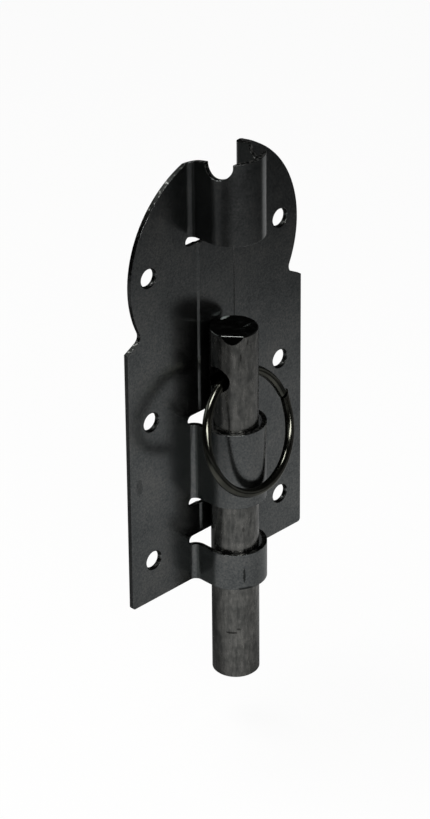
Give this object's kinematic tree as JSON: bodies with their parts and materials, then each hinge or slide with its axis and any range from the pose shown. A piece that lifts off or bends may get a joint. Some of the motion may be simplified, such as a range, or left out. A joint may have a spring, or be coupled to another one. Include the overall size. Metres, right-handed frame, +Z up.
{
  "type": "drop latch",
  "caption": "Pressed steel plate with a round head, guide straps and a notched keeper, holding a vertical sliding round bolt that is lifted and parked by a wire pull ring",
  "frame": {"origin": "centre of the screw pattern on the back face of the plate", "axes": "+Z up along the bolt, -Y out of the front, +X to the right seen from the front"},
  "size_m": [0.08, 0.0239, 0.1917],
  "materials": {
    "plate_steel": "black satin on pressed sheet steel",
    "bolt_steel": "black satin on drawn round bar",
    "ring_wire": "glossy black nickel on bent wire"
  },
  "bodies": {
    "plate": {"plate": "plate_steel"},
    "bolt": {"bolt": "bolt_steel"},
    "ring": {"pull_ring": "ring_wire"}
  },
  "joints": [
    {"name": "bolt_slide", "type": "slide", "parent": "plate", "child": "bolt", "axis": [0, 0, 1], "range_m": [-0.0122, 0.0445]},
    {"name": "ring_hinge", "type": "hinge", "parent": "bolt", "child": "ring", "pos_m": [-0.0006, -0.0102, 0.0097], "axis": [-0.9957, -0.0924, 0], "range_deg": [0, 159.5]}
  ]
}
